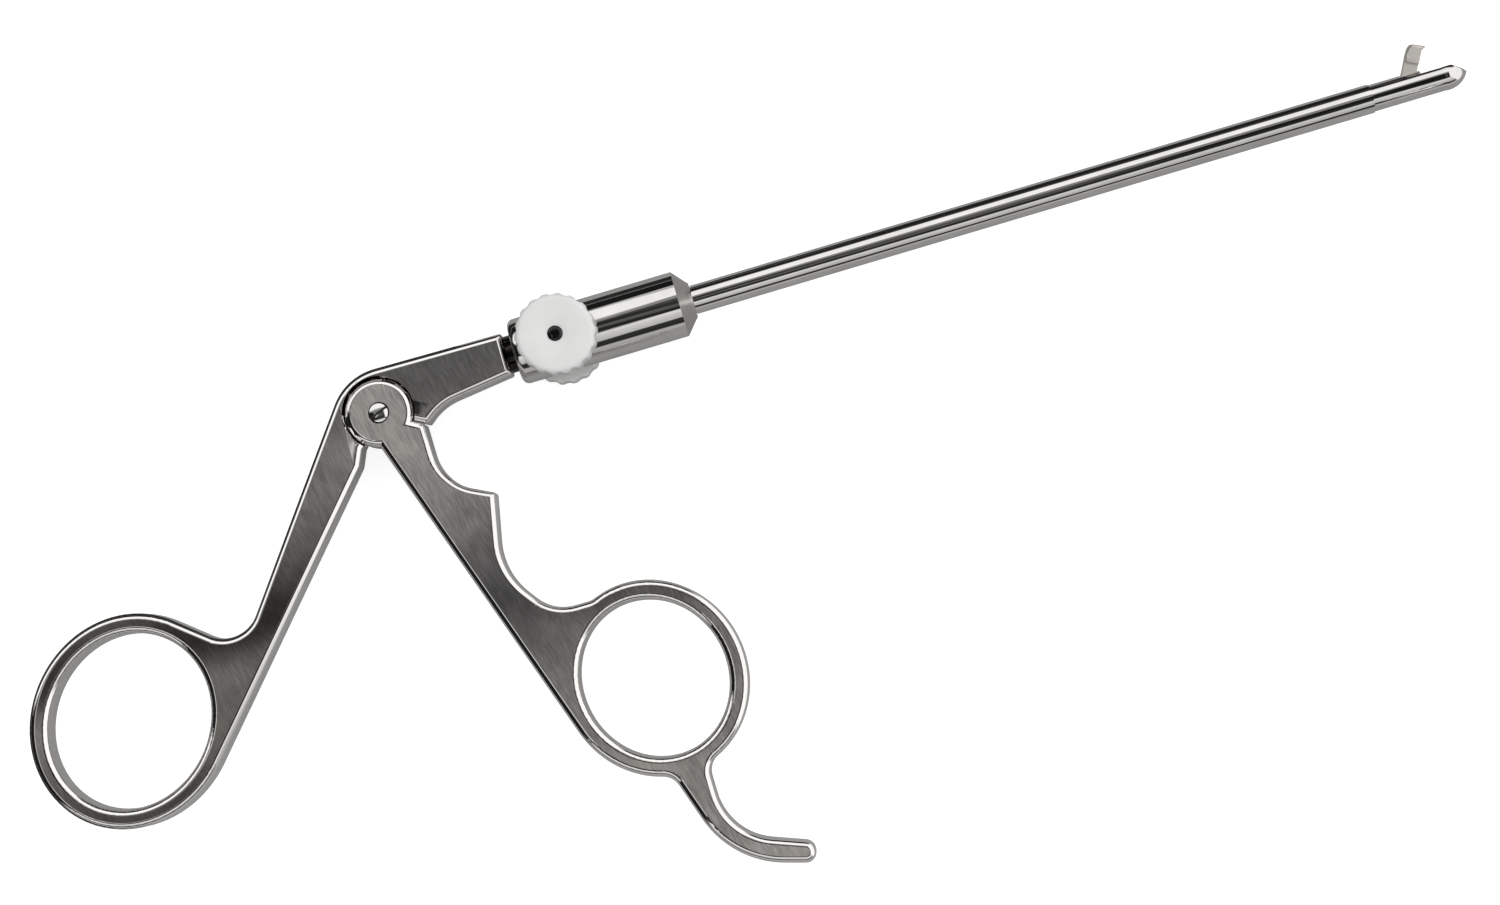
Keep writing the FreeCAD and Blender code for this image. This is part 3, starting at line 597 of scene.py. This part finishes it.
@dataclass
class WheelSet:
    """A thumb wheel with a scalloped rim, a dished face and a black plug."""

    side: Side
    axis_x: float = -22.5 * MM
    bottom: float = 5.6 * MM
    height: float = 4.4 * MM
    radius: float = 6.55 * MM
    scallops: int = 18
    steps_per_scallop: int = 14
    scallop_radius: float = 1.15 * MM
    scallop_depth: float = 0.32 * MM
    foot_round: float = 0.4 * MM
    foot_steps: int = 3
    shoulder: float = 1.1 * MM
    shoulder_steps: int = 7
    dimple_radius: float = 2.1 * MM
    dimple_depth: float = 0.3 * MM
    plug_radius: float = 1.25 * MM
    plug_proud: float = 0.35 * MM
    plug_bottom: float = 8.8 * MM
    plug_seat: float = 8.0 * MM
    axle_radius: float = 1.15 * MM
    axle_top: float = 7.2 * MM
    screw_radius: float = 0.8 * MM
    plug_steps: int = 6
    plug_corners: int = 48
    plug_top_share: float = 0.35
    edge_angle: float = 30.0
    least_difference: float = 1e-6

    def build(self) -> None:
        """Builds and dresses the wheel and its plug."""
        prefix = self.side.value
        body = f"{prefix}_wheel_set"
        wheel = self.wheel(f"{prefix}_thumb_wheel")
        plug = self.plug(f"{prefix}_black_plug")
        for piece in (wheel, plug):
            if self.side is Side.FAR:
                turn_over(piece)
            finish_normals(piece, self.edge_angle)
        finish_piece(wheel, WHITE_PLASTIC.build(), "wheel_plastic", body, f"{prefix}_wheel")
        finish_piece(plug, BLACK_PLASTIC.build(), "cap_plastic", body, f"{prefix}_wheel_cap")

    def rim_radius(self, step: int) -> float:
        """Radius of the scalloped rim.

        Args:
            step: place within one scallop, from 0 at its middle.

        Returns:
            The radius there.
        """
        share = (step + self.steps_per_scallop / 2) % self.steps_per_scallop / self.steps_per_scallop - 0.5
        off = abs(share) * 2 * math.pi * self.radius / self.scallops
        inside = self.scallop_radius ** 2 - off ** 2
        cut = math.sqrt(inside) - self.scallop_radius + self.scallop_depth if inside > 0 else 0.0
        return self.radius - max(cut, 0.0)

    def wheel(self, name: str) -> bpy.types.Object:
        """Models the wheel from a circle, ring by ring.

        Args:
            name: name of the piece.

        Returns:
            The near wheel.
        """
        count = self.scallops * self.steps_per_scallop
        wheel = new_circle(name, count, self.axle_radius, (self.axis_x, 0.0, self.axle_top))
        rings = [(self.bottom, self.axle_radius)]
        rings.append((self.bottom, self.radius - self.foot_round))
        rings += self.arc(self.bottom + self.foot_round, self.foot_round, -1, self.foot_steps)
        rings += self.arc(self.bottom + self.height - self.shoulder, self.shoulder, 1, self.shoulder_steps)
        top = self.bottom + self.height
        rings += [(top, self.dimple_radius), (top - self.dimple_depth, self.plug_radius)]
        rings += [(self.plug_seat, self.plug_radius), (self.plug_seat, self.screw_radius)]
        rings += [(self.axle_top, self.screw_radius)]
        level = self.axle_top
        reaches = [self.axle_radius] * self.steps_per_scallop
        for height, radius in rings:
            extrude_ring(height - level, 1.0, self.axis_x)
            targets = [min(radius, self.rim_radius(step)) for step in range(self.steps_per_scallop)]
            self.resize_ring(wheel, [target / reach for target, reach in zip(targets, reaches)])
            level, reaches = height, targets
        bpy.ops.mesh.select_mode(type="EDGE")
        bpy.ops.mesh.select_all(action="DESELECT")
        bpy.ops.mesh.select_non_manifold()
        bpy.ops.mesh.bridge_edge_loops()
        bpy.ops.object.mode_set(mode="OBJECT")
        return wheel

    def arc(self, level: float, radius: float, way: int, steps: int) -> list[tuple[float, float]]:
        """Heights and radii of a rounded corner of the wheel's rim.

        Args:
            level: height of the arc's centre.
            radius: radius of the arc.
            way: 1 for a corner at the top, -1 for one at the bottom.
            steps: number of steps.

        Returns:
            Rings from the lower to the upper end.
        """
        rings = []
        for step in range(steps + 1):
            angle = math.pi / 2 * step / steps
            if way < 0:
                angle = math.pi / 2 - angle
            out = self.radius - radius + radius * math.cos(angle)
            rings.append((level + way * radius * math.sin(angle), out))
        return rings

    def resize_ring(self, wheel: bpy.types.Object, shares: list[float]) -> None:
        """Changes the radius of the newest ring, at each place within a scallop by its own share.

        Args:
            wheel: the wheel, in edit mode, with the ring selected.
            shares: new radius over old radius, from the middle of a scallop onwards.
        """
        centre = (self.axis_x, 0.0, 0.0)
        if max(shares) - min(shares) < self.least_difference:
            bpy.ops.transform.resize(value=(shares[0], shares[0], 1.0), center_override=centre)
            return
        mesh = bmesh.from_edit_mesh(wheel.data)
        ring = [vertex for vertex in mesh.verts if vertex.select]
        count = self.scallops * self.steps_per_scallop
        places = [round(math.atan2(v.co.y, v.co.x - self.axis_x) / (2 * math.pi) * count) for v in ring]
        for step, share in enumerate(shares):
            bpy.ops.mesh.select_all(action="DESELECT")
            for vertex, place in zip(ring, places):
                vertex.select = place % self.steps_per_scallop == step
            mesh.select_flush_mode()
            bpy.ops.transform.resize(value=(share, share, 1.0), center_override=centre)
        for vertex in ring:
            vertex.select = True
        mesh.select_flush(True)

    def plug(self, name: str) -> bpy.types.Object:
        """Models the plug with its domed top.

        Args:
            name: name of the piece.

        Returns:
            The near plug.
        """
        centre = (self.axis_x, 0.0, self.plug_bottom)
        plug = new_circle(name, self.plug_corners, self.plug_radius, centre, "NGON")
        level, reach = self.plug_bottom, self.plug_radius
        start = self.bottom + self.height - self.dimple_depth
        for step in range(self.plug_steps):
            angle = math.pi / 2 * step / self.plug_steps
            height = start + self.plug_proud * math.sin(angle)
            share = self.plug_top_share + (1 - self.plug_top_share) * math.cos(angle)
            radius = self.plug_radius * share
            extrude_ring(height - level, radius / reach, self.axis_x)
            level, reach = height, radius
        bpy.ops.object.mode_set(mode="OBJECT")
        return plug


@dataclass
class ShaftGroup:
    """The polished tube and the jaws at its end."""

    edge_angle: float = 28.0
    nose_angle: float = 58.0

    def build(self) -> None:
        """Builds and dresses the tube and the jaws."""
        tube = smooth_copy("shaft_tube", "polished_tube", self.edge_angle)
        finish_piece(tube, POLISHED_STEEL.build(), "polished_steel", "shaft", "shaft_tube")
        lower = smooth_copy("lower_jaw", "lower_cup_jaw", self.nose_angle)
        finish_piece(lower, POLISHED_STEEL.build(), "jaw_steel", "shaft", "lower_jaw")
        upper = smooth_copy("upper_jaw", "upper_biting_jaw", self.edge_angle)
        finish_piece(upper, JAW_STEEL.build(), "jaw_steel", "bite", "upper_jaw")
        pin = smooth_copy("jaw_pin", "jaw_pin_end", self.edge_angle)
        finish_piece(pin, JAW_STEEL.build(), "jaw_steel", "shaft", "jaw_pin")


@dataclass
class InnerWorks:
    """The solids inside the casings, which keep their own meshes."""

    steel: tuple[str, ...] = (
        "push_rod", "rod_ball", "rod_tongue", "neck_stud", "spacer_sleeve", "bevel_gear", "gear_pin",
        "crank_pin", "near_pinion_axle", "far_pinion_axle", "near_wheel_screw", "far_wheel_screw",
    )
    bronze: tuple[str, ...] = ("front_bush", "near_axle_bush", "far_axle_bush")

    def build(self) -> None:
        """Gives each inner solid its metal."""
        for names, finish in ((self.steel, INNER_STEEL.build()), (self.bronze, BUSH_BRONZE.build())):
            for name in names:
                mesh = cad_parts[name].data
                mesh.materials.clear()
                mesh.materials.append(finish)


@dataclass
class Studio:
    """Pale table, light tent and camera."""

    floor_level: float = -10.06 * MM
    floor_size: float = 6.0
    tent_level: float = 1.25
    table_colour: str = "#b8b8b8"
    table_glow: float = 0.76
    table_glow_in_metal: float = 0.04
    table_in_metal: str = "#969696"
    table_roughness: float = 0.8
    flag_colour: str = "#0d0d0d"
    flag_lift: float = 0.02 * MM
    flag_far: float = 400 * MM
    behind_shaft: float = 35 * MM
    behind_forearm: float = 9 * MM
    behind_arm: float = -15 * MM
    forearm_front: float = -40 * MM
    arm_left: float = -72 * MM
    ring_left: float = -127 * MM
    side_blend: float = 0.01
    ahead_zone: tuple[float, float] = (0.44, 0.54)
    behind_zone: tuple[float, float] = (-0.64, -0.74)
    lamp_place: tuple[float, float, float] = (0.0, 100 * MM, 1200 * MM)
    lamp_size: float = 1400 * MM
    lamp_power: float = 8.0
    nearest_seen: float = 10 * MM
    camera_place: tuple[float, float, float] = (4.0 * MM, -61.3 * MM, 494 * MM)
    camera_turn: tuple[float, float, float] = (0.0665, 0.0245, -0.2877)
    focal_share: float = 2.05
    sensor_width: float = 36.0

    def build(self) -> None:
        """Builds the table, the lights and the camera."""
        self.build_table()
        self.build_flags()
        self.build_tent()
        self.build_fill()
        self.build_camera()

    def build_table(self) -> None:
        """Builds the table top, which looks white to the camera and keeps the shadow."""
        half = self.floor_size / 2
        table = self.sheet("studio_table", self.floor_level, (-half, half), (-half, half))
        material, tree, shader = new_material("pale_table")
        path = add_node(tree, "ShaderNodeLightPath")
        seen = add_node(tree, "ShaderNodeMath", {
            0: path.outputs["Is Camera Ray"], 1: path.outputs["Is Transmission Ray"],
        }, operation="MAXIMUM")
        white = add_node(tree, "ShaderNodeMath", {
            0: seen.outputs[0], 1: self.table_glow,
        }, operation="MULTIPLY")
        glow = add_node(tree, "ShaderNodeMath", {
            0: path.outputs["Is Glossy Ray"], 1: self.table_glow_in_metal, 2: white.outputs[0],
        }, operation="MULTIPLY_ADD")
        colour = add_node(tree, "ShaderNodeMix", {
            0: path.outputs["Is Glossy Ray"], 6: linear(self.table_colour), 7: linear(self.table_in_metal),
        }, data_type="RGBA")
        tree.links.new(colour.outputs[2], shader.inputs["Base Color"])
        shader.inputs["Roughness"].default_value = self.table_roughness
        shader.inputs["Emission Color"].default_value = WHITE
        tree.links.new(glow.outputs[0], shader.inputs["Emission Strength"])
        table.data.materials.append(material)

    def build_flags(self) -> None:
        """Lays black flags behind the shaft and handles, which only the metal sees, for its dark edges."""
        material, _, shader = new_material("black_felt")
        shader.inputs["Base Color"].default_value = linear(self.flag_colour)
        shader.inputs["Roughness"].default_value = 1.0
        far = self.flag_far
        places = (
            ("black_flag_behind_shaft", (-far, far), (self.behind_shaft, far)),
            (
                "black_flag_behind_forearm",
                (-far, self.forearm_front), (self.behind_forearm, self.behind_shaft),
            ),
            ("black_flag_behind_arm", (-far, self.arm_left), (self.behind_arm, self.behind_forearm)),
            ("black_flag_left_of_ring", (-far, self.ring_left), (-far, self.behind_arm)),
        )
        for name, span_x, span_y in places:
            flag = self.sheet(name, self.floor_level + self.flag_lift, span_x, span_y)
            flag.data.materials.append(material)
            flag.visible_camera = False
            flag.visible_diffuse = False
            flag.visible_shadow = False
            flag.visible_transmission = False

    def sheet(self, name: str, level: float, span_x: tuple, span_y: tuple) -> bpy.types.Object:
        """Adds a flat sheet of the studio.

        Args:
            name: name of the sheet.
            level: its height.
            span_x: its lowest and highest X.
            span_y: its lowest and highest Y.

        Returns:
            The sheet.
        """
        bpy.ops.object.select_all(action="DESELECT")
        bpy.ops.mesh.primitive_plane_add(size=1.0, location=(sum(span_x) / 2, sum(span_y) / 2, level))
        sheet = bpy.context.object
        sheet.name = name
        sheet.scale = (span_x[1] - span_x[0], span_y[1] - span_y[0], 1.0)
        bpy.ops.object.transform_apply(location=True, scale=True)
        return sheet

    def band(
        self, tree: bpy.types.NodeTree, angle: bpy.types.NodeSocket, stops: list,
    ) -> bpy.types.NodeSocket:
        """Adds the brightness of one side of the tent against the angle from straight above.

        Args:
            tree: node tree of the world.
            angle: angle from straight above, 0 to 1 for 0 to 180 degrees.
            stops: (degrees, brightness) pairs.

        Returns:
            Colour output of the ramp.
        """
        ramp = add_node(tree, "ShaderNodeValToRGB", {"Fac": angle})
        elements = ramp.color_ramp.elements
        while len(elements) < len(stops):
            elements.new(1.0)
        for element, (degrees, level) in zip(elements, stops):
            element.position = degrees / 180
            element.color = (level, level, level, 1.0)
        return ramp.outputs["Color"]

    def tilt(
        self, tree: bpy.types.NodeTree, off: bpy.types.NodeSocket, up: bpy.types.NodeSocket,
    ) -> bpy.types.NodeSocket:
        """Adds the angle from straight above of a direction seen along one axis.

        Args:
            tree: node tree of the world.
            off: part of the direction to the side, not below zero.
            up: part of the direction upwards.

        Returns:
            The angle, 0 to 1 for 0 to 180 degrees.
        """
        angle = add_node(tree, "ShaderNodeMath", {0: off, 1: up}, operation="ARCTAN2")
        share = add_node(tree, "ShaderNodeMath", {0: angle.outputs[0], 1: math.pi}, operation="DIVIDE")
        return share.outputs[0]

    def build_tent(self) -> None:
        """Builds the light tent: softboxes beside the shaft and across its ends, with dark gaps between."""
        world = bpy.data.worlds.new("light_tent")
        bpy.context.scene.world = world
        world.use_nodes = True
        tree = world.node_tree
        tree.nodes.clear()
        direction = add_node(tree, "ShaderNodeTexCoord").outputs["Generated"]
        parts = add_node(tree, "ShaderNodeSeparateXYZ", {"Vector": direction})
        up = parts.outputs["Z"]
        wide = add_node(tree, "ShaderNodeVectorMath", {0: direction}, operation="ABSOLUTE")
        sizes = add_node(tree, "ShaderNodeSeparateXYZ", {"Vector": wide.outputs[0]})
        across = self.tilt(tree, sizes.outputs["Y"], up)
        along = self.tilt(tree, sizes.outputs["X"], up)
        # Each pair is an angle from straight above, in degrees, and the brightness there.
        upper = self.band(tree, across, [
            (0, 0.08), (3, 0.01), (7, 0.01), (12, 0.05), (16, 0.24), (23, 0.25), (27, 0.93), (58, 0.9),
            (64, 0.18), (68, 0.01),
        ])
        lower = self.band(tree, across, [
            (0, 0.1), (7, 0.11), (10, 0.02), (22, 0.02), (25, 0.72), (29, 0.7), (34, 0.6), (54, 0.45),
            (58, 0.03), (71, 0.02), (76, 0.42), (84, 0.4), (90, 0.3),
        ])
        right = self.band(tree, along, [
            (0, 0.09), (6, 0.09), (9, 0.01), (16, 0.01), (19, 0.93), (89, 0.9), (93, 0.2),
        ])
        left = self.band(tree, along, [
            (0, 0.09), (5, 0.01), (9, 0.01), (12, 0.6), (23, 0.6), (26, 0.01), (89, 0.01), (93, 0.2),
        ])
        side = add_node(tree, "ShaderNodeMapRange", {
            "Value": parts.outputs["Y"], "From Min": -self.side_blend, "From Max": self.side_blend,
        })
        beside = add_node(tree, "ShaderNodeMix", {0: side.outputs[0], 6: lower, 7: upper}, data_type="RGBA")
        reach = add_node(tree, "ShaderNodeMath", {
            0: sizes.outputs["X"], 1: sizes.outputs["Y"],
        }, operation="ADD")
        share = add_node(tree, "ShaderNodeMath", {
            0: parts.outputs["X"], 1: reach.outputs[0],
        }, operation="DIVIDE")
        ahead = add_node(tree, "ShaderNodeMapRange", {
            "Value": share.outputs[0], "From Min": self.ahead_zone[0], "From Max": self.ahead_zone[1],
        }, interpolation_type="SMOOTHSTEP")
        behind = add_node(tree, "ShaderNodeMapRange", {
            "Value": share.outputs[0], "From Min": self.behind_zone[0], "From Max": self.behind_zone[1],
        }, interpolation_type="SMOOTHSTEP")
        front = add_node(tree, "ShaderNodeMix", {
            0: ahead.outputs[0], 6: beside.outputs[2], 7: right,
        }, data_type="RGBA")
        tent = add_node(tree, "ShaderNodeMix", {
            0: behind.outputs[0], 6: front.outputs[2], 7: left,
        }, data_type="RGBA")
        lit = add_node(tree, "ShaderNodeVectorMath", {
            0: tent.outputs[2], "Scale": self.tent_level,
        }, operation="SCALE")
        path = add_node(tree, "ShaderNodeLightPath")
        seen = add_node(tree, "ShaderNodeMix", {
            0: path.outputs["Is Camera Ray"], 6: lit.outputs[0], 7: WHITE,
        }, data_type="RGBA")
        background = add_node(tree, "ShaderNodeBackground", {"Color": seen.outputs[2], "Strength": 1.0})
        add_node(tree, "ShaderNodeOutputWorld", {"Surface": background.outputs[0]})

    def build_fill(self) -> None:
        """Builds the soft overhead lamp that lights the plastic and the table."""
        bpy.ops.object.light_add(type="AREA", location=self.lamp_place)
        lamp = bpy.context.object
        lamp.name = "overhead_fill"
        lamp.data.shape = "DISK"
        lamp.data.size = self.lamp_size
        lamp.data.energy = self.lamp_power
        lamp.visible_glossy = False
        lamp.visible_camera = False

    def build_camera(self) -> None:
        """Builds the camera at the photograph's angle."""
        data = bpy.data.cameras.new("camera")
        data.sensor_width = self.sensor_width
        data.lens = self.focal_share * self.sensor_width
        data.clip_start = self.nearest_seen
        camera = bpy.data.objects.new("camera", data)
        bpy.context.scene.collection.objects.link(camera)
        camera.location = self.camera_place
        camera.rotation_euler = self.camera_turn
        bpy.context.scene.camera = camera
        bpy.context.scene.view_settings.view_transform = "Standard"


def main() -> None:
    """Builds the forceps and the studio."""
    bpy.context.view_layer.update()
    groups = [
        HandlePair(),
        BarrelGroup(),
        WheelSet(Side.NEAR),
        WheelSet(Side.FAR),
        ShaftGroup(),
        InnerWorks(),
        Studio(),
    ]
    for group in groups:
        log.info("building %s", type(group).__name__)
        group.build()


if __name__ == "__main__":
    main()
